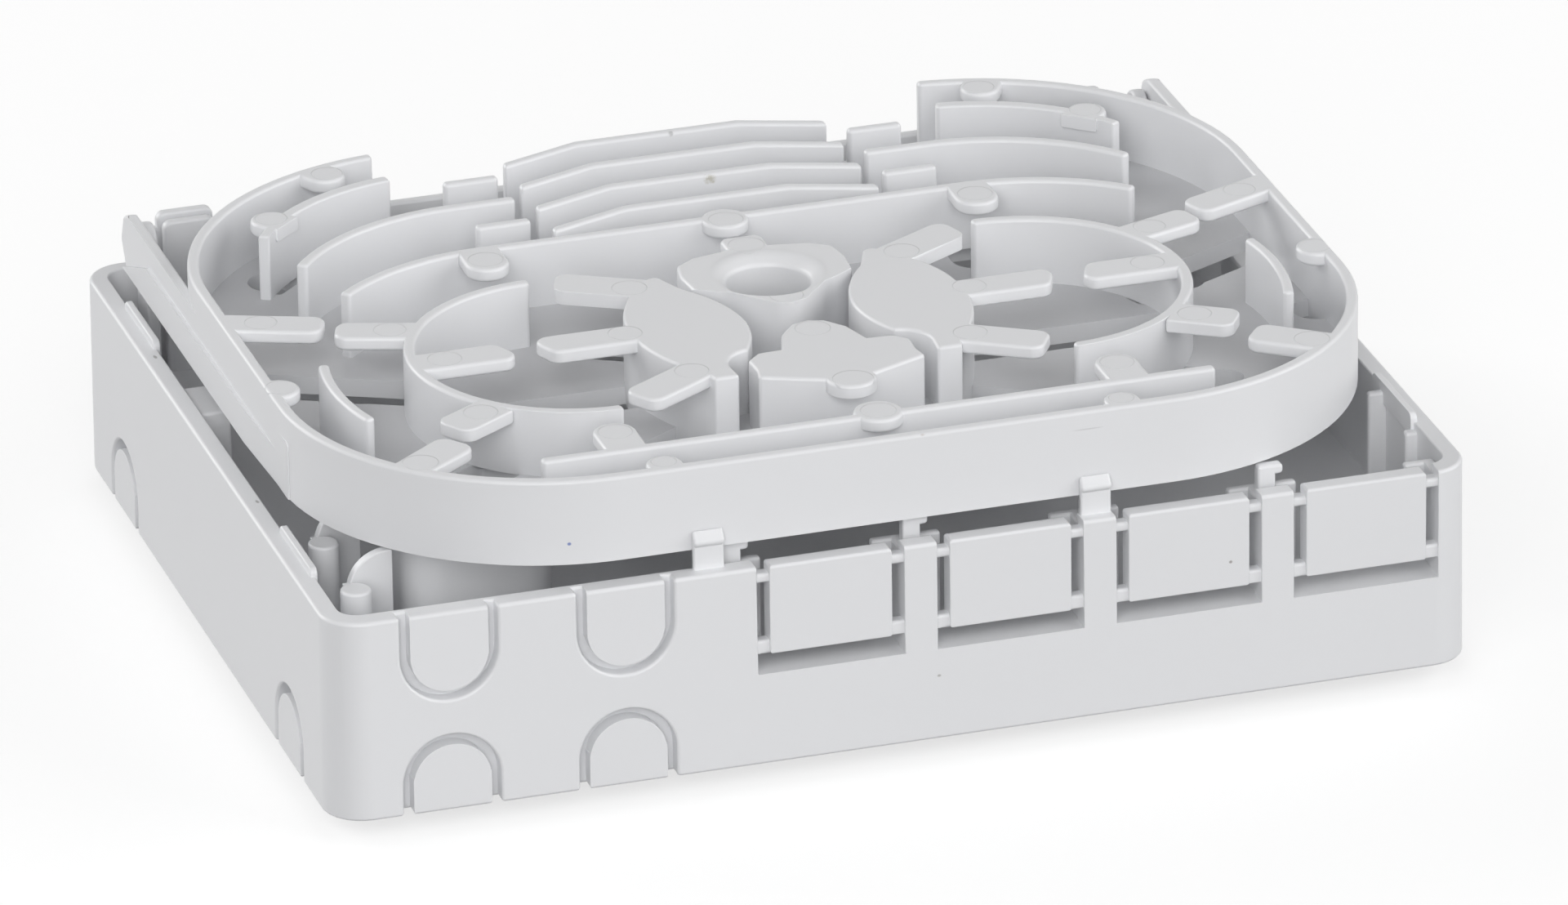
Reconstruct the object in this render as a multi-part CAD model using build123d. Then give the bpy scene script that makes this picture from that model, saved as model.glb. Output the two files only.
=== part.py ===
from build123d import *
import os
from math import acos, degrees, sqrt

# Overall size of the base box. All heights are counted from the lower edge of its walls.
box_width = 160.6
box_depth = 127.5
rim_height = 28.8
corner_radius = 5.7
wall_draft = 0.37            # degrees, the box narrows towards the rim
front_wall = 3.1
side_wall = 2.85
back_wall = 2.65
floor_top = 13.2             # inside floor, level with the port sills
floor_thickness = 2.0
foot_drop = 3.2              # how far the rail hooks stand below the walls

past = 1.0                   # cutters run this far past the material
root = 0.1                   # joined pieces reach this far into each other
rim_round = 0.55

# Raised back wall and the tabs that carry the lid
raised_wall_inset = 1.1      # from the outside of the back wall
raised_wall_height = 33.2
raised_wall_thickness = 1.7
raised_wall_width = 144.0
tab_seat_height = 34.2
tab_seat_width = 10.0
tab_seat_x = 65.5
lid_tab_height = 36.35
lid_tab_width = 8.1
guide_plate_height = 35.9
guide_plate_width = 7.4
guide_plate_y = 59.4
guide_plate_thickness = 1.6
tab_corner_radius = 1.2
stem_drop = 2.0              # the stem ends this far below the raised wall's top

# Latch ridges on the side rims
ridge_height = 30.0
ridge_thickness = 1.0
ridge_inset = 2.3            # from the outside of the wall
ridge_length = 15.5
ridge_ys = (-39.4, 40.1)
ridge_end_radius = 1.0
ridge_root = 2.0             # a ridge starts this far below the rim

# Cable knock-outs, a thin web left at the bottom of a groove
knockout_xs = (-63.7, -39.3)
side_knockout_y = 42.3
groove_radius = 6.75
pad_radius = 5.4
upper_knockout_z = 22.75
lower_knockout_z = 4.15
web_thickness = 0.9

# Adapter ports in the front wall
port_count = 4
port_pitch = 25.2
port_width = 20.6
first_port_x = -10.8
sill_height = 13.2
blank_gap = 1.75             # between a blank panel and the port's sides
blank_bottom = 16.0
blank_thickness = 2.8
lower_tie_height = 1.9
upper_tie_height = 1.35
upper_tie_drop = 1.15        # below the rim
tie_inset = 0.4              # behind the panel's two faces
blank_inset = 0.12           # behind the front of the wall
rib_thickness = 1.7
rib_depth = 5.0
rib_lip = 2.8
rib_lip_thickness = 1.4
rib_drop = 1.5               # below the rim
rib_play = 0.2               # beside the port

# Posts that carry the front of the tray, and the snaps that hold it
post_xs = (-23.2, 1.9, 27.1, 52.1)
post_width = 2.5
post_depth = 1.8
post_y = -58.4
post_nib = 1.1
post_head = 1.4
nib_round = 0.5
post_web = 1.6               # joins a post to the front wall
post_web_drop = 3.0          # below the rim
snap_x = 27.1
snap_width = 4.3
snap_height = 34.2
snap_thickness = 0.8
snap_nose = 0.45             # how far the head stands out to the front
snap_nose_top = 33.0
snap_nose_height = 0.9
snap_flat = 0.25             # flat strip on top of a snap
tray_gap = 0.3               # between the tray and the posts and snaps

# Cable guides that stand on the box floor beside the knock-outs
peg_x = -72.7
peg_ys = (-50.3, -34.5)
peg_radius = 2.1
peg_height = 27.8
peg_web = 1.4                # joins a peg to its tongue
peg_web_drop = 1.0           # below the peg's top
tongue_width = 6.2
tongue_height = 31.0
tongue_radius = 5.6
tongue_thickness = 1.6
tongue_offset = 4.4
drum_x = -53.5
drum_y = -38.0
drum_width = 21.0
drum_depth = 15.0
drum_radius = 5.0
drum_wall = 1.8
drum_height = 30.8
step_y = 15.2
step_length = 9.4
step_depth = 4.6
step_height = 28.2
wall_rib_width = 1.4
wall_ribs = ((-47.8, 1.7, 27.8), (-35.3, 2.6, 28.6))   # place, depth and height

# Wall screw holes in the floor
screw_spacing_x = 110.0
screw_spacing_y = 80.0
wall_screw_radius = 2.2
wall_boss_radius = 4.6
countersink_rim = 1.6        # wider than the hole all round
countersink_depth = 1.2

# Ribs below the floor
cross_rib_ys = (-49.0, 36.0)
long_rib_x = 37.0
under_rib_width = 1.6
under_rib_low = 4.0
guide_rib_x = 5.0
guide_rib_width = 1.2

# Splice tray
tray_bottom = 31.4
tray_floor = 34.0
tray_top = 43.5
tray_wall = 1.65
tray_half_width = 75.5
tray_front = 60.6
front_corner_radius = 37.0
rear_corner_radius = 39.0
rear_corner_x = 36.5
rear_corner_y = 17.3
rear_gap = 80.0              # the outer wall is open this far across the back
floor_back = 53.0
finger_thickness = 2.0
opening_margin = 0.6         # floor openings round the fingers above them

# Curved walls that lead the fibre round behind the rings: centre, outer radius
second_arc = (36.5, 17.3, 30.4)
third_arc = (34.3, 3.1, 32.0)
fourth_arc = (35.0, -12.2, 31.8)
second_arc_end = 62.6
third_arc_end = 60.3
third_arc_inner = 25.4
fourth_arc_end = 57.3

# Splice holder in the middle of the back
splice_wall_count = 4
splice_wall_pitch = 8.0
splice_wall_back = 51.0
splice_wall_half = 23.5
splice_bend_x = 11.8
splice_bend_drop = 4.2
comb_x = 29.4
comb_width = 7.8
comb_shift = 0.2             # behind the line of the splice wall

# Winding rings and the fins beside them
ring_x = 32.0
ring_y = -16.4
ring_radius = 23.1
fin_radius = 40.0
fin_x = 27.45
fin_y = -19.8
fin_thickness = 1.5
fin_start = -17.6            # degrees round its centre
fin_end = 11.3
inner_front_y = -51.1
inner_front_half = 47.2
wall_end_radius = 0.6
ring_half_turn = 90.5         # degrees to each side

# Hubs
hub_x = 15.75
hub_y = -15.3
hub_half_width = 8.05
hub_foot_end = -34.0
hub_wall = 1.6

# Middle blocks: a block with a round eye at the back, a solid looking one in front of it
eye_y = -2.0
eye_radius = 5.8
eye_dish_radius = 8.2
eye_dish_depth = 1.4
eye_lug_width = 6.0
eye_lug_back = 11.3

# Fingers that hold the fibre down, drawn for the right half: start, tip, width and the slant of the tip
hub_fingers = (((17.5, -2.0), (28.6, 4.3), 6.0, 0.6),
               ((17.0, -15.6), (36.4, -15.6), 5.6, 1.1),
               ((17.0, -28.8), (28.8, -36.2), 6.0, 0.0))
ring_fingers = (((54.0, -15.8), (40.8, -15.8), 5.7, 1.2),
                ((50.8, -5.2), (61.4, -1.6), 5.5, 0.0),
                ((47.6, -32.6), (55.4, -37.6), 6.0, 0.0))
wall_fingers = (((75.0, 6.0), (62.2, 0.8), 5.5, 0.0),
                ((66.0, -50.2), (55.8, -42.4), 6.0, 0.0))
finger_corner = 1.8
wall_lugs = (((75.0, -17.8), (70.9, -17.8), 6.0),
             ((49.2, 53.6), (46.6, 48.6), 5.6),
             ((57.4, 36.0), (61.2, 40.2), 5.6),
             ((35.25, 19.0), (35.25, 11.2), 6.1),
             ((35.25, -51.8), (35.25, -43.2), 5.9),
             ((32.0, -60.0), (32.0, -55.6), 5.0))
middle_lugs = (((0, 19.0), (0, 14.8), 6.6),
               ((0, -38.0), (0, -42.6), 7.0))
front_disc_radius = 3.4

# Slots in the tray floor: below the two fingers inside a ring, and from the ring to the outer wall
ring_slot = (22.8, 54.0, -19.4, -12.0)
side_slot = ((53.2, -8.7), (74.4, 1.9), (74.4, 10.7), (49.6, -1.6))

# Rails at the sides and the hinge at their back ends
rail_inner = 73.9
rail_top = 39.6
rail_back = 58.0
rail_lip = 0.6
rail_lip_top = 36.4
rail_lip_back = 43.0
rail_lip_run = 20.0          # the lip rises from nothing over this length
rail_front = -27.6
rail_end_run = 2.0
rail_end_rise = 3.4
hinge_y = 55.0
hinge_z = 35.0
pin_radius = 1.5
pin_clearance = 0.06
pin_length = 2.4
ear_gap = 0.3
ear_thickness = 1.9
ear_radius = 2.9

# Foot that grips a 35 mm rail, and its sliding latch
rail_width = 35.0
rail_thickness = 1.0
rail_play = 0.3
hook_thickness = 3.0
hook_reach = 2.0
hook_chamfer = 0.8
foot_width = 62.0
foot_front = -31.0
foot_back = 24.0
foot_thickness = 4.0
foot_web = 1.4
foot_corner = 3.0
fixed_hook_width = 26.0
latch_width = 16.0
latch_hook_width = 12.0
latch_front = -40.0
latch_back = -9.0
latch_thickness = 2.2
latch_travel = 3.5
slide_play = 0.3
latch_slot_width = 6.0
latch_slot_height = 2.2
latch_slot_inset = 4.0
foot_screw_x = 24.0
foot_screw_front = -20.0
foot_screw_back = 18.0
foot_screw_radius = 1.5
screw_head_radius = 2.8
screw_head_height = 1.8
screw_length = 9.0
screw_socket_radius = 1.2
screw_socket_depth = 1.3
screw_play = 0.2
foot_boss_radius = 3.6
pilot_play = 0.02
pilot_end = 0.3              # room beyond a screw's tip

floor_under = floor_top - floor_thickness
tray_outer = rear_corner_x + rear_corner_radius


def slab(sketch, low, high, taper=0.0):
    return extrude(Pos(0, 0, low) * sketch, high - low, taper=taper)


def block(x0, x1, y0, y1, z0, z1):
    size = (x1 - x0, y1 - y0, z1 - z0)
    return Pos((x0 + x1) / 2, (y0 + y1) / 2, (z0 + z1) / 2) * Box(*size)


def patch(x0, x1, y0, y1, radius=0.0):
    shape = Rectangle(x1 - x0, y1 - y0)
    if radius:
        shape = RectangleRounded(x1 - x0, y1 - y0, radius)
    return Pos((x0 + x1) / 2, (y0 + y1) / 2) * shape


def both(shape):
    return shape + mirror(shape, Plane.YZ)


def outlined(*points):
    return make_face(Polyline(*points, close=True))


def half_outline(*points):
    return outlined(*points, *[(-x, y) for x, y in reversed(points) if x > 0])


def arc_wall(centre, radius, thickness, start, end):
    outer = CenterArc(centre, radius, start, end - start)
    inner = CenterArc(centre, radius - thickness, start, end - start)
    return make_face([outer, Line(outer @ 1, inner @ 1), inner, Line(inner @ 0, outer @ 0)])


def angle_at_x(arc, x):
    # the angle at which a circle's outer edge reaches x, on its back side
    return degrees(acos((x - arc[0]) / arc[2]))


def laid(shape, start, tip):
    # turns a shape drawn along X so that it runs from start to tip
    run = Vector(*tip) - Vector(*start)
    return Pos(*start) * Rot(0, 0, Vector(1, 0, 0).get_signed_angle(run, Vector(0, 0, 1))) * shape


def lug(start, tip, width):
    # a flat lug with a round tip
    length = (Vector(*tip) - Vector(*start)).length - width / 2
    shape = Pos(length / 2, 0) * Rectangle(length, width) + Pos(length, 0) * Circle(width / 2)
    return laid(shape, start, tip)


def finger(start, tip, width, slant):
    # a flat finger with a blunt tip, cut off at a slant
    length = (Vector(*tip) - Vector(*start)).length
    half = width / 2
    shape = outlined((0, -half), (length - slant, -half), (length + slant, half), (0, half))
    corners = shape.vertices().sort_by(Axis.X)[-2:]
    return laid(fillet(corners, finger_corner), start, tip)


def across(profile, x, width):
    # a profile drawn in Y and Z, pushed along X
    return extrude(Plane((x, 0, 0), (0, 1, 0), (1, 0, 0)) * profile, width)


# Base box

def port_left(index):
    return first_port_x - port_width / 2 + index * port_pitch


def box_shell():
    outside = slab(RectangleRounded(box_width, box_depth, corner_radius), 0, rim_height, wall_draft)
    top_edge = outside.faces().sort_by(Axis.Z)[-1].edges()
    outside = fillet(top_edge, rim_round)
    x = box_width / 2 - side_wall
    front = -box_depth / 2 + front_wall
    back = box_depth / 2 - back_wall
    room = patch(-x, x, front, back, corner_radius - side_wall)
    return outside - slab(room, floor_top, rim_height + past) - slab(room, -past, floor_under)


def upright_plate(x, width, low, high, y0, y1):
    # a plate across Y with its two upper corners rounded
    plate = block(x - width / 2, x + width / 2, y0, y1, low, high)
    corners = plate.edges().filter_by(Axis.Y).group_by(Axis.Z)[-1]
    return fillet(corners, tab_corner_radius)


def raised_back():
    y1 = box_depth / 2 - raised_wall_inset
    y0 = y1 - raised_wall_thickness
    half = raised_wall_width / 2
    wall = block(-half, half, y0, y1, floor_under, raised_wall_height)
    seat = both(block(tab_seat_x - tab_seat_width / 2, tab_seat_x + tab_seat_width / 2,
                      y0, y1, floor_under, tab_seat_height))
    tab = upright_plate(tab_seat_x, lid_tab_width, floor_under, lid_tab_height, y0, y1)
    guide = upright_plate(tab_seat_x, guide_plate_width, floor_under, guide_plate_height,
                          guide_plate_y - guide_plate_thickness / 2,
                          guide_plate_y + guide_plate_thickness / 2)
    stem = block(tab_seat_x - guide_plate_thickness / 2, tab_seat_x + guide_plate_thickness / 2,
                 guide_plate_y, y1, floor_under, raised_wall_height - stem_drop)
    return wall + seat + both(tab + guide + stem)


def rim_ridges():
    x1 = box_width / 2 - ridge_inset
    ridges = Part()
    for y in ridge_ys:
        ridge = block(x1 - ridge_thickness, x1, y - ridge_length / 2,
                      y + ridge_length / 2, rim_height - ridge_root, ridge_height)
        ends = ridge.edges().filter_by(Axis.X).group_by(Axis.Z)[-1]
        ridges += fillet(ends, ridge_end_radius)
    return both(ridges)


def knockout_profile(centre, open_end):
    # a groove round a pad, open at one end: the profile's own Y is the height
    middle = (centre + open_end) / 2
    height = abs(open_end - centre)
    outside = Pos(0, centre) * Circle(groove_radius)
    outside += Pos(0, middle) * Rectangle(2 * groove_radius, height)
    inside = Pos(0, centre) * Circle(pad_radius)
    inside += Pos(0, middle) * Rectangle(2 * pad_radius, height + 2 * past)
    return outside - inside


def knockout_grooves():
    # grooves run round each pad and stop short of the inside of the wall
    outer = box_depth / 2
    upper = knockout_profile(upper_knockout_z, rim_height + past)
    lower = knockout_profile(lower_knockout_z, -past)
    cutter = Part()
    for x in knockout_xs:
        for profile in (upper, lower):
            face = Plane((x, -outer, 0), (1, 0, 0), (0, -1, 0))
            cutter += extrude(face * profile, -(front_wall - web_thickness))
    for side in (-1, 1):
        for y in (-side_knockout_y, side_knockout_y):
            face = Plane((side * box_width / 2, y, 0), (0, side, 0), (side, 0, 0))
            cutter += extrude(face * lower, -(side_wall - web_thickness))
    return cutter


def port_cutters():
    cutter = Part()
    outer = box_depth / 2
    for index in range(port_count):
        left = port_left(index)
        hole = Pos(left + port_width / 2, -outer) * Rectangle(port_width, 2 * (front_wall + past))
        cutter += slab(hole, sill_height, rim_height + past)
    return cutter


def port_blanks():
    # break-out panels, each held by four small ties
    blanks = Part()
    y0 = -box_depth / 2 + blank_inset
    y1 = y0 + blank_thickness
    ties = ((blank_bottom, blank_bottom + lower_tie_height),
            (rim_height - upper_tie_drop - upper_tie_height, rim_height - upper_tie_drop))
    for index in range(port_count):
        left = port_left(index)
        right = left + port_width
        blanks += block(left + blank_gap, right - blank_gap, y0, y1, blank_bottom, rim_height)
        for low, high in ties:
            for x0 in (left - root, right - blank_gap - root):
                x1 = x0 + blank_gap + 2 * root
                blanks += block(x0, x1, y0 + tie_inset, y1 - tie_inset, low, high)
    return blanks


def port_ribs():
    # L-shaped ribs behind each port take the flange of an adapter
    ribs = Part()
    y0 = -box_depth / 2 + front_wall - root
    y1 = y0 + rib_depth
    top = rim_height - rib_drop
    for index in range(port_count):
        left = port_left(index) - rib_play
        right = port_left(index) + port_width + rib_play
        ribs += block(right, right + rib_thickness, y0, y1, floor_under, top)
        ribs += block(left - rib_thickness, left, y0, y1, floor_under, top)
        lip = y1 - rib_lip_thickness
        ribs += block(right - rib_lip, right + rib_thickness, lip, y1, floor_under, top)
        ribs += block(left - rib_thickness, left + rib_lip, lip, y1, floor_under, top)
    return ribs


def tray_posts():
    # the tray rests on these heads, each with a nib to one side
    posts = Part()
    head = tray_bottom - tray_gap
    y0 = post_y - post_depth / 2
    y1 = post_y + post_depth / 2
    for x in post_xs:
        nib = block(x, x + post_width / 2 + post_nib, y0, y1, head - post_head, head)
        corners = nib.edges().filter_by(Axis.Y).group_by(Axis.X)[-1]
        posts += block(x - post_width / 2, x + post_width / 2, y0, y1, floor_under, head)
        posts += fillet(corners, nib_round)
        posts += block(x - post_web / 2, x + post_web / 2, -box_depth / 2 + front_wall - root,
                       y0 + root, floor_under, rim_height - post_web_drop)
    return posts


def snaps():
    # a snap stands on the front wall, with a nose towards the front and a slope above it
    y1 = -tray_front - tray_gap
    y0 = y1 - snap_thickness
    front = y0 - snap_nose
    profile = outlined((y0, rim_height - past), (y1, rim_height - past), (y1, snap_height),
                       (y1 - snap_flat, snap_height), (front, snap_nose_top),
                       (front, snap_nose_top - snap_nose_height / 2),
                       (y0, snap_nose_top - snap_nose_height))
    return both(across(profile, snap_x - snap_width / 2, snap_width))


def cable_guides():
    # pegs with round-topped tongues behind them, and a hollow drum to bend the cable round
    guides = Part()
    for y in peg_ys:
        guides += slab(Pos(peg_x, y) * Circle(peg_radius), floor_under, peg_height)
        middle = y + tongue_offset
        tongue = block(peg_x, peg_x + tongue_width, middle - tongue_thickness / 2,
                       middle + tongue_thickness / 2, floor_under, tongue_height)
        corner = tongue.edges().filter_by(Axis.Y).group_by(Axis.Z)[-1].sort_by(Axis.X)[0]
        guides += fillet(corner, tongue_radius)
        guides += block(peg_x - peg_web / 2, peg_x + peg_web / 2, y, middle,
                        floor_under, peg_height - peg_web_drop)
    drum = RectangleRounded(drum_width, drum_depth, drum_radius)
    drum -= RectangleRounded(drum_width - 2 * drum_wall, drum_depth - 2 * drum_wall,
                             drum_radius - drum_wall)
    return guides + slab(Pos(drum_x, drum_y) * drum, floor_under, drum_height)


def wall_steps():
    # a step inside each side wall, and two ribs inside the right wall
    inside = box_width / 2 - side_wall + root
    step = block(inside - step_depth, inside, step_y - step_length / 2, step_y + step_length / 2,
                 floor_under, step_height)
    ribs = Part()
    for y, depth, height in wall_ribs:
        ribs += block(inside - depth, inside, y - wall_rib_width / 2,
                      y + wall_rib_width / 2, floor_under, height)
    return both(step) + ribs


def hinge_ears():
    # upright ears with a bore for the tray's pins
    inner = rail_inner - ear_gap - ear_thickness
    middle = (hinge_z + floor_under) / 2
    profile = Pos(hinge_y, hinge_z) * Circle(ear_radius)
    profile += Pos(hinge_y, middle) * Rectangle(2 * ear_radius, hinge_z - floor_under)
    profile -= Pos(hinge_y, hinge_z) * Circle(pin_radius + pin_clearance)
    return both(across(profile, inner, ear_thickness))


def under_ribs():
    # stiffening ribs and bosses below the floor, and two ribs above the latch
    ribs = Part()
    x = box_width / 2 - side_wall + root
    y = box_depth / 2 - front_wall + root
    high = floor_under + root
    half = under_rib_width / 2
    for rib_y in cross_rib_ys:
        ribs += block(-x, x, rib_y - half, rib_y + half, under_rib_low, high)
    for side in (-1, 1):
        ribs += block(side * long_rib_x - half, side * long_rib_x + half, -y, y, under_rib_low, high)
        for end in (-1, 1):
            place = Pos(side * screw_spacing_x / 2, end * screw_spacing_y / 2)
            ribs += slab(place * Circle(wall_boss_radius), 0, high)
        for screw_y in (foot_screw_front, foot_screw_back):
            ribs += slab(Pos(side * foot_screw_x, screw_y) * Circle(foot_boss_radius),
                         foot_thickness, high)
        ribs += block(side * guide_rib_x - guide_rib_width / 2, side * guide_rib_x + guide_rib_width / 2,
                      latch_front + 2 * past, latch_back - past, foot_thickness, high)
    return ribs


def wall_holes():
    holes = Part()
    for side in (-1, 1):
        for end in (-1, 1):
            place = Pos(side * screw_spacing_x / 2, end * screw_spacing_y / 2)
            holes += slab(place * Circle(wall_screw_radius), -past, floor_top + past)
            holes += slab(place * Circle(wall_screw_radius + countersink_rim),
                          floor_top - countersink_depth, floor_top + past)
        for y in (foot_screw_front, foot_screw_back):
            holes += slab(Pos(side * foot_screw_x, y) * Circle(foot_screw_radius + pilot_play),
                          foot_thickness - past, screw_head_height + screw_length + pilot_end)
    return holes


def base_box():
    walls = box_shell() - port_cutters() - knockout_grooves()
    inside = raised_back() + port_ribs() + tray_posts() + cable_guides() + hinge_ears()
    inside += wall_steps() + rim_ridges()
    return walls + inside + port_blanks() + snaps() + under_ribs() - wall_holes()


# Splice tray

def tray_outline():
    x = rear_gap / 2
    start = degrees(acos((x - rear_corner_x) / rear_corner_radius))
    back = CenterArc((rear_corner_x, rear_corner_y), rear_corner_radius, start, -start)
    corner = (tray_half_width - front_corner_radius, -tray_front + front_corner_radius)
    side = Line(back @ 1, (tray_half_width, corner[1]))
    bend = CenterArc(corner, front_corner_radius, 0, -90)
    front = Line(bend @ 1, (0, -tray_front))
    top = (0, (back @ 0).Y)
    return both(make_face([back, side, bend, front, Line(front @ 1, top), Line(top, back @ 0)]))


def outer_wall():
    full = tray_outline()
    opening = patch(-rear_gap / 2, rear_gap / 2, rear_corner_y, rear_corner_y + rear_corner_radius + past)
    return slab(full - offset(full, -tray_wall) - opening, tray_bottom, tray_top)


def curved_walls():
    walls = Sketch()
    for arc, low_x, inner_x in ((second_arc, second_arc_end, rear_gap / 2),
                                (third_arc, third_arc_end, third_arc_inner),
                                (fourth_arc, fourth_arc_end, 0)):
        x, y, radius = arc
        straight = inner_x < x
        high = 90 if straight else angle_at_x(arc, inner_x)
        walls += arc_wall((x, y), radius, tray_wall, angle_at_x(arc, low_x), high)
        if straight:
            walls += patch(inner_x, x, y + radius - tray_wall, y + radius)
    return walls


def splice_walls():
    walls = Sketch()
    for index in range(splice_wall_count):
        back = splice_wall_back - index * splice_wall_pitch
        drop = back - splice_bend_drop
        walls += half_outline((0, back), (splice_bend_x, back), (splice_wall_half, drop),
                              (splice_wall_half, drop - tray_wall),
                              (splice_bend_x, back - tray_wall), (0, back - tray_wall))
    return walls


def comb_walls():
    walls = Sketch()
    for index in (1, 3):
        y = splice_wall_back - index * splice_wall_pitch + comb_shift
        walls += patch(comb_x - comb_width / 2, comb_x + comb_width / 2, y - tray_wall, y, wall_end_radius)
    return walls


def ring_walls():
    walls = arc_wall((ring_x, ring_y), ring_radius, tray_wall, -ring_half_turn, ring_half_turn)
    return walls + arc_wall((fin_x, fin_y), fin_radius, fin_thickness, fin_start, fin_end)


def inner_front_wall():
    return patch(-past, inner_front_half, inner_front_y - tray_wall, inner_front_y, wall_end_radius)


def hub():
    # a pointed oval with a round bite on its inner side and a narrow foot
    tip = ThreePointArc((hub_x + 1.2, 0.4), (hub_x - 0.2, 1.6), (hub_x - 1.5, 0.4))
    neck = Line(tip @ 1, (hub_x - 3.0, -3.4))
    inner = ThreePointArc(neck @ 1, (hub_x - 6.4, -9.0), (hub_x - hub_half_width, hub_y))
    lower = ThreePointArc(inner @ 1, (hub_x - 7.5, -21.0), (hub_x - 5.4, -26.0))
    bite = ThreePointArc(lower @ 1, (hub_x - 2.5, -27.6), (hub_x - 1.5, -30.5))
    foot = Polyline(bite @ 1, (hub_x - 1.8, hub_foot_end), (hub_x + 1.7, hub_foot_end),
                    (hub_x + 2.5, -31.2))
    outer = ThreePointArc(foot @ 1, (hub_x + 6.4, -24.6), (hub_x + hub_half_width, hub_y))
    shoulder = ThreePointArc(outer @ 1, (hub_x + 6.2, -6.6), tip @ 0)
    return make_face([tip, neck, inner, lower, bite, foot, outer, shoulder])


def back_block():
    # half of the outline, from the back to the front
    shape = half_outline((0, 7.6), (3.0, 7.4), (8.5, 6.2), (11.2, 4.2), (11.8, 0.5),
                         (11.4, -4.2), (8.5, -6.2), (6.6, -7.2), (2.3, -12.2), (0, -12.9))
    return shape + patch(-eye_lug_width / 2, eye_lug_width / 2, 6, eye_lug_back, 1.2)


def front_block():
    # half of the outline, with a waist where the hubs' feet stand beside it
    return half_outline((0, -19.0), (2.4, -19.8), (4.7, -22.8), (6.1, -27.4), (9.6, -27.6),
                        (11.5, -29.5), (11.3, -33.0), (11.8, -35.4), (3.0, -39.2), (0, -39.3))


def overhangs(margin=0.0):
    # the outlines of all fingers and lugs, made wider by a margin
    shapes = [finger(*ends) for ends in hub_fingers + ring_fingers + wall_fingers]
    shapes += [lug(*ends) for ends in wall_lugs]
    middle = [lug(*ends) for ends in middle_lugs] + [Pos(0, inner_front_y) * Circle(front_disc_radius)]
    side = Sketch()
    for shape in shapes:
        side += offset(shape, margin) if margin else shape
    plates = both(side)
    for shape in middle:
        plates += offset(shape, margin) if margin else shape
    return plates


def floor_openings():
    # the floor is open below each finger and lug
    return overhangs(opening_margin) + both(patch(*ring_slot) + outlined(*side_slot))


def wall_sketch():
    return both(curved_walls() + comb_walls() + ring_walls() + inner_front_wall()) + splice_walls()


def column_sketch(inset=0.0):
    shapes = [hub(), mirror(hub(), Plane.YZ), back_block(), front_block()]
    sketch = Sketch()
    for shape in shapes:
        sketch += offset(shape, -inset) if inset else shape
    return sketch


def rails():
    # rails with rounded back ends, a thin lip along their lower half, and the hinge pins;
    # the lip starts flush with the rail at the front
    profile = outlined((rail_front, tray_bottom), (rail_back - rail_end_run, tray_bottom),
                       (rail_back, tray_bottom + rail_end_rise), (rail_back, rail_top - rail_end_rise),
                       (rail_back - rail_end_run / 2, rail_top - rail_end_run / 2),
                       (rail_back - rail_end_rise, rail_top), (rail_front, rail_top))
    rail = across(profile, rail_inner, tray_outer - rail_inner + root)
    lip = outlined((rail_front, tray_bottom), (rail_back - rail_end_run, tray_bottom),
                   (rail_lip_back, rail_lip_top), (rail_front, rail_lip_top))
    lip_room = outlined((rail_inner, rail_front), (tray_outer - root, rail_front),
                        (tray_outer + rail_lip, rail_front + rail_lip_run),
                        (tray_outer + rail_lip, rail_back), (rail_inner, rail_back))
    rail += across(lip, rail_inner + rail_lip, tray_outer - rail_inner) & slab(lip_room, tray_bottom, rail_top)
    pin = across(Pos(hinge_y, hinge_z) * Circle(pin_radius), rail_inner - pin_length, pin_length + root)
    return both(rail + pin)


def splice_tray():
    back = patch(-rear_gap / 2, rear_gap / 2, floor_back, rear_corner_y + rear_corner_radius + past)
    body = slab(tray_outline() - back, tray_bottom, tray_floor)
    body -= slab(floor_openings(), tray_bottom - past, tray_floor + past)
    body += outer_wall() + slab(wall_sketch(), tray_floor - root, tray_top)
    body += slab(column_sketch(), tray_bottom, tray_top)
    body -= slab(column_sketch(hub_wall), tray_bottom - past, tray_top - finger_thickness)
    plates = overhangs() & offset(tray_outline(), -tray_wall / 2)
    body += slab(plates, tray_top - finger_thickness, tray_top) + rails()
    # the round eye runs right through, with a dished rim
    body += slab(Pos(0, eye_y) * Circle(eye_radius + hub_wall), tray_bottom, tray_top)
    dish = Cone(eye_radius, eye_dish_radius, eye_dish_depth,
                align=(Align.CENTER, Align.CENTER, Align.MIN))
    body -= Pos(0, eye_y, tray_top - eye_dish_depth) * dish
    return body - slab(Pos(0, eye_y) * Circle(eye_radius), tray_bottom - past, tray_top)


# Foot and latch for the rail

def rail_hook(width, y, top):
    # a hook that reaches under the rail's flange
    grip = rail_thickness + rail_play
    back = y + hook_thickness
    profile = outlined((y, top), (back, top), (back, hook_chamfer - foot_drop),
                       (back - hook_chamfer, -foot_drop), (y - hook_reach + hook_chamfer, -foot_drop),
                       (y - hook_reach, -grip - hook_chamfer), (y - hook_reach, -grip), (y, -grip))
    return across(profile, -width / 2, width)


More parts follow.
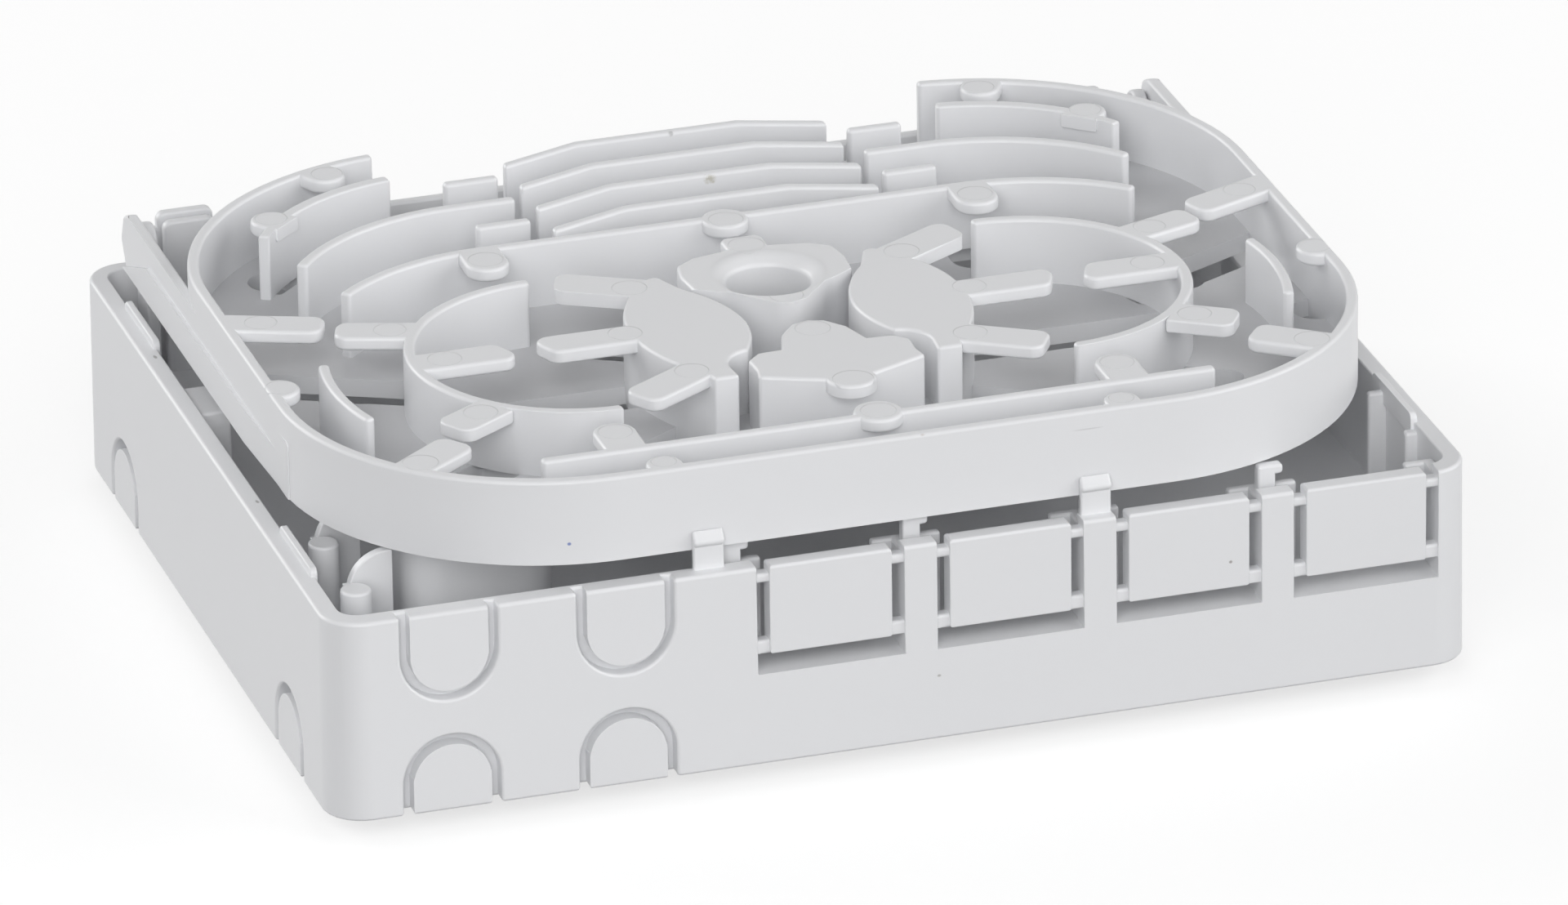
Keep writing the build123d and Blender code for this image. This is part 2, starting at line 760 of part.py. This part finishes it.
def rail_foot():
    # a plate screwed under the box, with a channel for the latch on top of it
    outline = patch(-foot_width / 2, foot_width / 2, foot_front, foot_back, foot_corner)
    plate = slab(outline, 0, foot_thickness)
    half = latch_width / 2 + slide_play
    plate -= block(-half, half, foot_front - past, latch_back + slide_play, foot_web, foot_thickness + past)
    hook_y = rail_width / 2 + rail_play
    plate += rail_hook(fixed_hook_width, hook_y, past)
    leg = latch_hook_width / 2 + slide_play
    plate -= block(-leg, leg, -hook_y - hook_thickness - latch_travel - slide_play,
                   -hook_y + hook_reach + slide_play, -past, foot_web + past)
    for x in (-foot_screw_x, foot_screw_x):
        for y in (foot_screw_front, foot_screw_back):
            plate -= slab(Pos(x, y) * Circle(foot_screw_radius + screw_play), -past, foot_thickness + past)
            plate -= slab(Pos(x, y) * Circle(screw_head_radius + screw_play), -past, screw_head_height)
    return plate


def din_latch():
    low = foot_web + slide_play
    plate = block(-latch_width / 2, latch_width / 2, latch_front, latch_back, low, low + latch_thickness)
    hook = mirror(rail_hook(latch_hook_width, rail_width / 2 + rail_play, low + root), Plane.XZ)
    slot = Pos(0, latch_front + latch_slot_inset) * SlotOverall(latch_slot_width, latch_slot_height)
    return plate + hook - slab(slot, 0, foot_thickness + past)


def foot_screw(x, y):
    head = slab(Pos(x, y) * Circle(screw_head_radius), screw_play, screw_head_height)
    shank = slab(Pos(x, y) * Circle(foot_screw_radius), screw_head_height - root,
                 screw_head_height + screw_length)
    socket = slab(Pos(x, y) * RegularPolygon(screw_socket_radius, 6), 0, screw_socket_depth)
    return head + shank - socket


def save(shape, name):
    solids = shape.solids()
    print(name, len(solids), round(sum(s.volume for s in solids)))
    whole = solids[0] if len(solids) == 1 else Compound(children=list(solids))
    export_step(Pos(0, 0, foot_drop) * whole, "parts/" + name + ".step")


os.makedirs("parts", exist_ok=True)
save(base_box(), "base_box")
save(splice_tray(), "splice_tray")
save(rail_foot(), "rail_foot")
save(din_latch(), "din_latch")
number = 0
for screw_x in (-foot_screw_x, foot_screw_x):
    for screw_y in (foot_screw_front, foot_screw_back):
        number += 1
        save(foot_screw(screw_x, screw_y), "foot_screw_" + str(number))
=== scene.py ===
import math
import bmesh
import bpy
from mathutils import Matrix, Vector


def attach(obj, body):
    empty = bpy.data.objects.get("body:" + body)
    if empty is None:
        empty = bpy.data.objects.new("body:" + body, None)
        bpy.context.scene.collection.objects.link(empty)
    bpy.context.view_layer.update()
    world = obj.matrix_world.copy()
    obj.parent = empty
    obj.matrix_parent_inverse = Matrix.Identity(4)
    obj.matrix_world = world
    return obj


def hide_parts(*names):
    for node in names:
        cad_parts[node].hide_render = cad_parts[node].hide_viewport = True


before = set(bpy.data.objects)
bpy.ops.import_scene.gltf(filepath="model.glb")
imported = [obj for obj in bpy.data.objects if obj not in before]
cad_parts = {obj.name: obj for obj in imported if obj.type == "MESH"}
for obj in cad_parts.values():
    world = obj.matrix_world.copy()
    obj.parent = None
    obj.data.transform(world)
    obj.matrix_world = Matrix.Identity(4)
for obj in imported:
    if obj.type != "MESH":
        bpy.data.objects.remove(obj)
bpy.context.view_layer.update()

mm = 0.001
print("frame loaded")


def feed(tree, target, value):
    # a socket is linked, anything else becomes the input's own value
    if isinstance(value, bpy.types.NodeSocket):
        tree.links.new(value, target)
    else:
        target.default_value = value


def addNode(tree, kind, settings=None, **inputs):
    # a shader node with its settings and inputs; an underscore in an input's name stands for a space
    node = tree.nodes.new("ShaderNode" + kind)
    for name, value in (settings or {}).items():
        setattr(node, name, value)
    for name, value in inputs.items():
        feed(tree, node.inputs[name.replace("_", " ")], value)
    return node


def addMath(tree, operation, *values):
    # a math node whose inputs are numbers or sockets
    node = addNode(tree, "Math", {"operation": operation})
    for target, value in zip(node.inputs, values):
        feed(tree, target, value)
    return node.outputs["Value"]


def addVectorMath(tree, operation, *values):
    # the same for vectors; the node itself comes back, as its result is a vector or a number
    node = addNode(tree, "VectorMath", {"operation": operation})
    for target, value in zip(node.inputs, values):
        feed(tree, target, value)
    return node


def addMix(tree, factor, first, second):
    # a colour between two colours
    return addNode(tree, "Mix", {"data_type": "RGBA"}, Factor=factor, A=first, B=second).outputs["Result"]


def addFade(tree, value, start, end):
    # from 0 at the start to 1 at the end, with a soft run at both
    node = addNode(tree, "MapRange", {"interpolation_type": "SMOOTHSTEP"},
                   Value=value, From_Min=start, From_Max=end)
    return node.outputs["Result"]


def objectPlace(tree):
    return addNode(tree, "TexCoord").outputs["Object"]


def addNoise(tree, place, scale, detail):
    return addNode(tree, "TexNoise", Vector=place, Scale=scale, Detail=detail).outputs["Fac"]


def makeGroup(name, inputs, outputs):
    # a group with its sockets, given as name and kind, and nothing between them yet
    group = bpy.data.node_groups.new(name, "ShaderNodeTree")
    for direction, sockets in (("INPUT", inputs), ("OUTPUT", outputs)):
        for title, kind in sockets.items():
            group.interface.new_socket(name=title, in_out=direction, socket_type="NodeSocket" + kind)
    return group, group.nodes.new("NodeGroupInput").outputs, group.nodes.new("NodeGroupOutput").inputs


# the fine texture of a mould and the slow waviness of its walls, as noises with bump depths in metres
mouldGrain = {
    "slowScale": 38,
    "slowDetail": 1,
    "slowDepth": 0.4 * mm,
    "fineDetail": 3,
    "fineDepth": 0.05 * mm,
}


def makeGrainGroup(look):
    # both as one bumped normal
    group, start, end = makeGroup("MouldGrain", {"Scale": "Float", "Strength": "Float", "Waviness": "Float"},
                                  {"Normal": "Vector"})
    place = objectPlace(group)
    slow = addNoise(group, place, look["slowScale"], look["slowDetail"])
    wavy = addNode(group, "Bump", Height=slow, Strength=start["Waviness"], Distance=look["slowDepth"])
    fine = addNoise(group, place, start["Scale"], look["fineDetail"])
    grained = addNode(group, "Bump", Height=fine, Strength=start["Strength"], Distance=look["fineDepth"],
                      Normal=wavy.outputs["Normal"])
    feed(group, end["Normal"], grained.outputs["Normal"])
    return group


mouldTone = {"scale": 30, "detail": 4}


def makeToneGroup(look):
    # slow change of tone over the moulding, between two colours
    group, start, end = makeGroup("MouldTone", {"Light": "Color", "Shade": "Color", "Amount": "Float"},
                                  {"Color": "Color"})
    noise = addNoise(group, objectPlace(group), look["scale"], look["detail"])
    share = addMath(group, "MULTIPLY", noise, start["Amount"])
    feed(group, end["Color"], addMix(group, share, start["Light"], start["Shade"]))
    return group


# the rim of a small mark: its noise, and where it starts and ends in radii
spotRim = {"noiseScale": 1800, "noiseDetail": 2, "outer": 1.25, "inner": 0.6}


def makeSpotGroup(look):
    # a mask for one small mark: an ellipsoid round a point, with a ragged soft edge
    inputs = {"Centre": "Vector", "Radii": "Vector", "Ragged": "Float", "Strength": "Float"}
    group, start, end = makeGroup("SmallSpot", inputs, {"Mask": "Float"})
    place = objectPlace(group)
    away = addVectorMath(group, "SUBTRACT", place, start["Centre"]).outputs["Vector"]
    scaled = addVectorMath(group, "DIVIDE", away, start["Radii"]).outputs["Vector"]
    reach = addVectorMath(group, "LENGTH", scaled).outputs["Value"]
    noise = addNoise(group, place, look["noiseScale"], look["noiseDetail"])
    ragged = addMath(group, "MULTIPLY", noise, start["Ragged"])
    fade = addFade(group, addMath(group, "ADD", reach, ragged), look["outer"], look["inner"])
    feed(group, end["Mask"], addMath(group, "MULTIPLY", fade, start["Strength"]))
    return group


# round marks of the ejector pins on the tray's flat tops, in metres; x stands for both sides
pinMarks = {
    "lowest": 46.2 * mm,
    "edge": 0.16 * mm,
    "depth": 0.12 * mm,
    "strength": 0.8,
    # painted shade: a darker ring along the edge of each mark, with this share and colour
    "ringShadeShare": 0.35,
    "ringShadeColour": (0.62, 0.63, 0.64, 1),
    # x, y and radius in millimetres
    "places": ((19.5, -1.0, 2.4), (24.5, -15.5, 2.3), (19.7, -30.5, 2.3), (0.0, 8.0, 2.5),
               (0.0, -10.4, 2.3), (0.0, -22.2, 2.4), (0.0, -40.2, 2.8), (35.25, 14.8, 2.4),
               (0.0, 17.4, 2.4), (47.6, 50.9, 2.2), (59.2, 38.2, 2.2), (73.4, -17.8, 2.2),
               (35.25, -46.4, 2.3), (0.0, -51.2, 2.4), (32.0, -57.8, 1.7), (50.0, -15.8, 2.3),
               (54.3, -4.0, 2.2), (50.4, -34.4, 2.3), (70.2, 4.1, 2.2), (62.6, -47.6, 2.4)),
}


def makePinGroup(look):
    # a shallow round step at each place, as a height from 0 to 1, and a thin ring along its edge for painted
    # shade
    group, _, end = makeGroup("PinMarks", {}, {"Height": "Float", "ShadeRing": "Float"})
    apart = addNode(group, "SeparateXYZ", Vector=objectPlace(group)).outputs
    toSide = addMath(group, "ABSOLUTE", apart["X"])
    flat = addNode(group, "CombineXYZ", X=toSide, Y=apart["Y"]).outputs["Vector"]
    nearest = None    # how far the point lies inside the nearest circle
    for x, y, radius in look["places"]:
        away = addVectorMath(group, "DISTANCE", flat, (x * mm, y * mm, 0)).outputs["Value"]
        inside = addMath(group, "SUBTRACT", radius * mm, away)
        nearest = inside if nearest is None else addMath(group, "MAXIMUM", nearest, inside)
    onTop = addMath(group, "GREATER_THAN", apart["Z"], look["lowest"])
    step = addFade(group, nearest, -look["edge"] / 2, look["edge"] / 2)
    shadeRing = addFade(group, addMath(group, "ABSOLUTE", nearest), look["edge"], 0.0)
    feed(group, end["Height"], addMath(group, "MULTIPLY", step, onTop))
    feed(group, end["ShadeRing"], addMath(group, "MULTIPLY", shadeRing, onTop))
    return group


grainGroup = makeGrainGroup(mouldGrain)
toneGroup = makeToneGroup(mouldTone)
spotGroup = makeSpotGroup(spotRim)
pinGroup = makePinGroup(pinMarks)
print("shader groups done")


def makeMaterial(name):
    material = bpy.data.materials.new(name)
    material.use_nodes = True
    return material, material.node_tree, material.node_tree.nodes["Principled BSDF"]


def addGroup(tree, group, **values):
    return addNode(tree, "Group", {"node_tree": group}, **values).outputs


def addGrain(tree, look):
    values = {"Scale": look["grainScale"], "Strength": look["grainStrength"], "Waviness": look["waviness"]}
    return addGroup(tree, grainGroup, **values)["Normal"]


# colour values are linear
plastic = {
    "baseColour": (0.81, 0.815, 0.83, 1),
    "shadeColour": (0.755, 0.765, 0.782, 1),
    "shadeAmount": 0.25,
    "roughness": 0.34,
    "specular": 0.45,
    "grainScale": 900.0,
    "grainStrength": 0.05,
    "waviness": 0.04,
}

# small marks that the photograph shows: centre and radii in millimetres, colour, strength and raggedness
boxSpots = {
    "frontSpeckRight": ((45.46, -63.63, 23.03), (0.32, 0.6, 0.28), (0.25, 0.22, 0.20, 1), 0.75, 0.4),
    "frontSpeckMiddle": ((4.18, -63.69, 12.51), (0.35, 0.6, 0.25), (0.30, 0.28, 0.26, 1), 0.6, 0.4),
    # two small dark grey marks painted on the side rim
    "rimDarkMarkBack": ((-78.43, 30.02, 32.0), (0.35, 0.9, 0.35), (0.22, 0.21, 0.20, 1), 0.7, 0.7),
    "rimDarkMarkFront": ((-78.1, -21.14, 32.0), (0.35, 0.9, 0.35), (0.22, 0.21, 0.20, 1), 0.7, 0.7),
}
traySpots = {
    "spliceStain": ((2.7, 33.35, 45.9), (1.5, 0.7, 1.1), (0.36, 0.33, 0.22, 1), 0.6, 1.0),
    "spliceNick": ((1.9, 49.5, 46.5), (0.5, 0.5, 0.6), (0.35, 0.35, 0.35, 1), 0.55, 0.6),
    "blueDot": ((-45.86, -59.85, 37.61), (0.32, 0.5, 0.28), (0.07, 0.14, 0.45, 1), 0.8, 0.3),
    "scratch": ((26.43, -60.6, 44.09), (2.4, 0.5, 0.13), (0.55, 0.55, 0.56, 1), 0.5, 0.3),
    "edgeMark": ((3.18, -60.6, 46.64), (0.5, 0.5, 0.35), (0.30, 0.20, 0.13, 1), 0.6, 0.7),
}

# painted shade: the upper side of the tray's thin floor, over the dark box, gets a greyer colour than its
# walls
thinFloor = {"mask": "thinFloor", "colour": (0.63, 0.634, 0.65, 1)}


def plasticMaterial(name, look, spots=None, pins=None, thin=None):
    material, tree, shader = makeMaterial(name)
    colour = addGroup(tree, toneGroup, Light=look["baseColour"], Shade=look["shadeColour"],
                      Amount=look["shadeAmount"])["Color"]
    normal = addGrain(tree, look)
    # painted shade: the marked floor faces get the darker floor colour
    if thin:
        mask = addNode(tree, "Attribute", {"attribute_name": thin["mask"]})
        colour = addMix(tree, mask.outputs["Fac"], colour, thin["colour"])
    for centre, radii, spotColour, strength, ragged in (spots or {}).values():
        spot = addGroup(tree, spotGroup, Centre=Vector(centre) * mm, Radii=Vector(radii) * mm,
                        Ragged=ragged, Strength=strength)
        colour = addMix(tree, spot["Mask"], colour, spotColour)
    if pins:
        marks = addGroup(tree, pinGroup)
        bump = addNode(tree, "Bump", Height=marks["Height"], Normal=normal, Distance=pins["depth"],
                       Strength=pins["strength"])
        normal = bump.outputs["Normal"]
        # painted shade: the ring along each pin mark's edge is coloured darker
        shadeRing = addMath(tree, "MULTIPLY", marks["ShadeRing"], pins["ringShadeShare"])
        colour = addMix(tree, shadeRing, colour, pins["ringShadeColour"])
    feed(tree, shader.inputs["Base Color"], colour)
    feed(tree, shader.inputs["Normal"], normal)
    shader.inputs["Roughness"].default_value = look["roughness"]
    shader.inputs["Specular IOR Level"].default_value = look["specular"]
    return material


steel = {
    "baseColour": (0.55, 0.56, 0.58, 1),
    "metallic": 1.0,
    "roughness": 0.32,
    "grainScale": 400.0,
    "grainStrength": 0.08,
    "waviness": 0.04,
}


def steelMaterial(name, look):
    material, tree, shader = makeMaterial(name)
    feed(tree, shader.inputs["Normal"], addGrain(tree, look))
    shader.inputs["Base Color"].default_value = look["baseColour"]
    shader.inputs["Metallic"].default_value = look["metallic"]
    shader.inputs["Roughness"].default_value = look["roughness"]
    return material


boxPlastic = plasticMaterial("boxPlastic", plastic, boxSpots)
trayPlastic = plasticMaterial("trayPlastic", plastic, traySpots, pins=pinMarks, thin=thinFloor)
footPlastic = plasticMaterial("footPlastic", plastic)
screwSteel = steelMaterial("screwSteel", steel)
print("materials done")


# each moulding's edges: the piece's name, the bevel's width and segments, the height of the floor, whose
# edges stay sharp, whether that floor's upper side gets painted shade, the height above which edges are
# rounded, and a side face that moves from its first place to its second, flush with the wall above it
edges = {
    "base_box": {"piece": "boxMoulding", "width": 0.45 * mm, "segments": 3, "floor": 16.4 * mm},
    "splice_tray": {"piece": "trayMoulding", "width": 0.55 * mm, "segments": 3, "floor": 37.2 * mm,
                    "thin": True, "lowest": 40 * mm, "flush": (75.6 * mm, 75.5 * mm)},
    "rail_foot": {"piece": "footMoulding", "width": 0.3 * mm, "segments": 2},
    "din_latch": {"piece": "latchMoulding", "width": 0.3 * mm, "segments": 2},
}

# what holds for all of them: lengths in metres, angles in degrees
edgeRules = {
    "weldWithin": 0.004 * mm,
    "flushWithin": 0.02 * mm,
    "endWithin": 0.03 * mm,
    "floorWithin": 0.05 * mm,
    "markWithin": 0.1 * mm,
    "farthest": 100 * mm,
    "flatBelow": 0.5,
    "sharpFrom": 30,
    "roundFrom": 36,
    "runBelow": 40,
    "normalBelow": 36,
    "roomShare": 0.42,    # the most of a narrow face that one rounding may take
    "upward": 0.9,    # least rise of a floor's normal
    "ownArea": 1e-12,    # gives a corner of a face without area a direction
}


def paint(piece, material):
    piece.data.materials.clear()
    piece.data.materials.append(material)


def roomBeside(edge, face):
    # how far the face reaches away from the edge, at right angles to it and between its ends
    start = edge.verts[0].co
    along = edge.verts[1].co - start
    length = along.length
    along.normalize()
    room = edgeRules["farthest"]
    for vertex in face.verts:
        way = vertex.co - start
        at = way.dot(along)
        if -edgeRules["endWithin"] < at < length + edgeRules["endWithin"]:
            away = (way - at * along).length
            if away > edgeRules["weldWithin"]:
                room = min(room, away)
    return room


def wayFrom(vertex, edge):
    return (edge.other_vert(vertex).co - vertex.co).normalized()


def evenWeights(shape, weights):
    # edges that run on from one another with a small turn share the least weight of their run,
    # because unlike roundings that meet at a small turn would tear the faces beside them
    straight = -math.cos(math.radians(edgeRules["runBelow"]))
    left = {edge for edge in shape.edges if edge[weights] > 0}
    while left:
        run = []
        reached = [left.pop()]
        while reached:
            edge = reached.pop()
            run.append(edge)
            for vertex in edge.verts:
                way = wayFrom(vertex, edge)
                for other in vertex.link_edges:
                    if other in left and way.dot(wayFrom(vertex, other)) < straight:
                        left.discard(other)
                        reached.append(other)
        least = min(edge[weights] for edge in run)
        for edge in run:
            edge[weights] = least


def onFloor(edge, look):
    # true for an edge that lies in the moulding's floor
    return all(abs(vertex.co.z - look.get("floor", -1)) < edgeRules["floorWithin"] for vertex in edge.verts)


def mergedMesh(node, look):
    # a copy of the node's triangles, welded, with flat faces joined into one; outer edges get a weight
    # for their rounding, less where a face beside them is narrow, and inner corners stay sharp
    shape = bmesh.new()
    shape.from_mesh(node.data)
    for vertex in shape.verts:
        if "flush" in look and abs(abs(vertex.co.x) - look["flush"][0]) < edgeRules["flushWithin"]:
            vertex.co.x = math.copysign(look["flush"][1], vertex.co.x)
    bmesh.ops.remove_doubles(shape, verts=shape.verts, dist=edgeRules["weldWithin"])
    joined = [edge for edge in shape.edges if not onFloor(edge, look)]
    bmesh.ops.dissolve_limit(shape, angle_limit=math.radians(edgeRules["flatBelow"]), verts=shape.verts,
                             edges=joined, use_dissolve_boundaries=False)
    weights = shape.edges.layers.float.new("bevel_weight_edge")
    roundFrom = math.radians(edgeRules["roundFrom"])
    sharpFrom = math.radians(edgeRules["sharpFrom"])
    for edge in shape.edges:
        if len(edge.link_faces) != 2:
            continue
        turn = edge.calc_face_angle_signed(0)
        high = max(vertex.co.z for vertex in edge.verts)
        if turn > roundFrom and high > look.get("lowest", 0) and not onFloor(edge, look):
            beside = min(roomBeside(edge, face) for face in edge.link_faces)
            edge[weights] = min(1.0, edgeRules["roomShare"] * beside / look["width"])
        elif abs(turn) > sharpFrom:
            edge.smooth = False
    evenWeights(shape, weights)
    for face in shape.faces:
        face.smooth = True
    mesh = bpy.data.meshes.new(node.name)
    shape.to_mesh(mesh)
    shape.free()
    return mesh


def evenNormals(mesh):
    # each corner's normal: the mean, by area, of the faces at its point that turn only a little from the
    # corner's own face, so that large flat faces stay flat and roundings run smoothly into them
    closest = math.cos(math.radians(edgeRules["normalBelow"]))
    faceNormals = [face.normal.copy() for face in mesh.polygons]
    weighted = [face.normal * face.area for face in mesh.polygons]
    around = [[] for vertex in mesh.vertices]
    for face in mesh.polygons:
        for vertex in face.vertices:
            around[vertex].append(face.index)
    normals = []
    for face in mesh.polygons:
        own = faceNormals[face.index]
        for vertex in face.vertices:
            total = own * edgeRules["ownArea"]
            for other in around[vertex]:
                if faceNormals[other].dot(own) > closest:
                    total = total + weighted[other]
            normals.append(total.normalized())
    mesh.normals_split_custom_set(normals)


def markFloor(mesh, height):
    # a face attribute, 1 on the faces that make up the floor's upper side, which get the painted shade
    marks = mesh.attributes.new(thinFloor["mask"], "FLOAT", "FACE")
    for mark, face in zip(marks.data, mesh.polygons):
        level = abs(face.center.z - height) < edgeRules["markWithin"]
        mark.value = float(level and face.normal.z > edgeRules["upward"])


def moulding(name, body, rounding, material):
    # the node's own shape with the small radii of a moulded edge
    piece = bpy.data.objects.new(rounding["piece"], mergedMesh(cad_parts[name], rounding))
    bpy.context.scene.collection.objects.link(piece)
    paint(piece, material)
    bevel = piece.modifiers.new("edges", "BEVEL")
    bevel.limit_method = "WEIGHT"
    bevel.width = rounding["width"]
    bevel.segments = rounding["segments"]
    bevel.use_clamp_overlap = False
    bevel.loop_slide = False
    finished = piece.evaluated_get(bpy.context.evaluated_depsgraph_get())
    piece.data = bpy.data.meshes.new_from_object(finished)
    piece.modifiers.clear()
    evenNormals(piece.data)
    # marks the floor faces that get the painted shade
    if "thin" in rounding:
        markFloor(piece.data, rounding["floor"])
    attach(piece, body)
    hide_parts(name)


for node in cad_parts.values():
    paint(node, screwSteel)
moulding("base_box", "box", edges["base_box"], boxPlastic)
moulding("splice_tray", "tray", edges["splice_tray"], trayPlastic)
moulding("rail_foot", "box", edges["rail_foot"], footPlastic)
moulding("din_latch", "latch", edges["din_latch"], footPlastic)
print("mouldings done")


photoWidth = 1920    # in pixels

# angles in degrees, distances in metres, lens and sensor in millimetres, found from the corners of the box
camera = {
    "azimuth": -17.092,
    "elevation": 24.122,
    "roll": -0.803,
    "distance": 1.9504,
    "lens": 325.755,
    "sensor": 36,
    "targetHeight": 0.0182,
    "shiftX": 21.66 / photoWidth,
    "shiftY": 5.28 / photoWidth,
    "nearest": 0.1,
    "farthest": 50,
}


def makeCamera(view):
    azimuth = math.radians(view["azimuth"])
    elevation = math.radians(view["elevation"])
    back = Vector((math.sin(azimuth) * math.cos(elevation), -math.cos(azimuth) * math.cos(elevation),
                   math.sin(elevation)))
    data = bpy.data.cameras.new("camera")
    data.lens = view["lens"]
    data.sensor_width = view["sensor"]
    data.shift_x = view["shiftX"]
    data.shift_y = view["shiftY"]
    data.clip_start = view["nearest"]
    data.clip_end = view["farthest"]
    eye = bpy.data.objects.new("camera", data)
    bpy.context.scene.collection.objects.link(eye)
    turn = (-back).to_track_quat("-Z", "Y").to_matrix().to_4x4()
    roll = Matrix.Rotation(math.radians(view["roll"]), 4, "Z")
    place = Matrix.Translation(Vector((0, 0, view["targetHeight"])) + back * view["distance"])
    eye.matrix_world = place @ turn @ roll
    bpy.context.scene.camera = eye


# soft boxes round the object, aimed at the origin below its middle: metres and watts
lights = {
    "frontLeft": {"at": (-1.1, -1.5, 1.3), "size": 1.6, "power": 15.5},
    "front": {"at": (-0.5, -2.0, 0.9), "size": 1.5, "power": 18.5},
    "frontRight": {"at": (1.6, -1.0, 0.9), "size": 1.8, "power": 22},
    "top": {"at": (0.1, 0.2, 2.2), "size": 1.8, "power": 1},
    "left": {"at": (-2.0, 0.2, 0.8), "size": 1.6, "power": 1.5},
    "right": {"at": (2.0, 0.3, 0.8), "size": 1.6, "power": 6},
    "backLeft": {"at": (-1.5, 1.7, 0.8), "size": 1.6, "power": 30},
}


def makeLight(name, light):
    data = bpy.data.lights.new(name, "AREA")
    data.shape = "SQUARE"
    data.size = light["size"]
    data.energy = light["power"]
    lamp = bpy.data.objects.new(name, data)
    bpy.context.scene.collection.objects.link(lamp)
    lamp.location = light["at"]
    lamp.rotation_mode = "QUATERNION"
    lamp.rotation_quaternion = (-Vector(light["at"])).to_track_quat("-Z", "Y")


def seenDirectly(tree):
    # 1 for rays from the camera and for what gloss or glass mirrors, 0 for the light on the object
    path = addNode(tree, "LightPath").outputs
    mirrored = addMath(tree, "MAXIMUM", path["Is Glossy Ray"], path["Is Transmission Ray"])
    return addMath(tree, "MAXIMUM", mirrored, path["Is Camera Ray"])


# the world is white where it is seen, and dim where it lights
studio = {"colour": (1, 1, 1, 1), "strength": 0.05, "seenStrength": 1.0}


def makeWorld(look):
    world = bpy.data.worlds.new("studio")
    bpy.context.scene.world = world
    world.use_nodes = True
    tree = world.node_tree
    background = tree.nodes["Background"]
    mix = addNode(tree, "Mix", Factor=seenDirectly(tree), A=look["strength"], B=look["seenStrength"])
    feed(tree, background.inputs["Strength"], mix.outputs["Result"])
    background.inputs["Color"].default_value = look["colour"]


# the floor glows where it is seen, so that it looks white and still shows the object's shadow
stage = {
    "halfSize": 6.0,
    "gap": 0.02 * mm,    # keeps the floor off the foot's lowest faces
    "colour": (0.35, 0.35, 0.355, 1),
    "seenColour": (0.42, 0.42, 0.42, 1),
    "glowColour": (1, 1, 1, 1),
    "glow": 0.68,
    "roughness": 0.9,
    "specular": 0.1,
}


def makeFloor(look):
    half = look["halfSize"]
    mesh = bpy.data.meshes.new("floor")
    corners = [(x * half, y * half, -look["gap"]) for x, y in ((-1, -1), (1, -1), (1, 1), (-1, 1))]
    mesh.from_pydata(corners, [], [(0, 1, 2, 3)])
    floor = bpy.data.objects.new("floor", mesh)
    bpy.context.scene.collection.objects.link(floor)
    material, tree, shader = makeMaterial("floor")
    seen = seenDirectly(tree)
    feed(tree, shader.inputs["Base Color"], addMix(tree, seen, look["colour"], look["seenColour"]))
    feed(tree, shader.inputs["Emission Strength"], addMath(tree, "MULTIPLY", seen, look["glow"]))
    shader.inputs["Emission Color"].default_value = look["glowColour"]
    shader.inputs["Roughness"].default_value = look["roughness"]
    shader.inputs["Specular IOR Level"].default_value = look["specular"]
    mesh.materials.append(material)


makeCamera(camera)
for name, light in lights.items():
    makeLight(name, light)
makeWorld(studio)
makeFloor(stage)
bpy.context.scene.view_settings.view_transform = "Standard"
print("camera, lights and floor done")
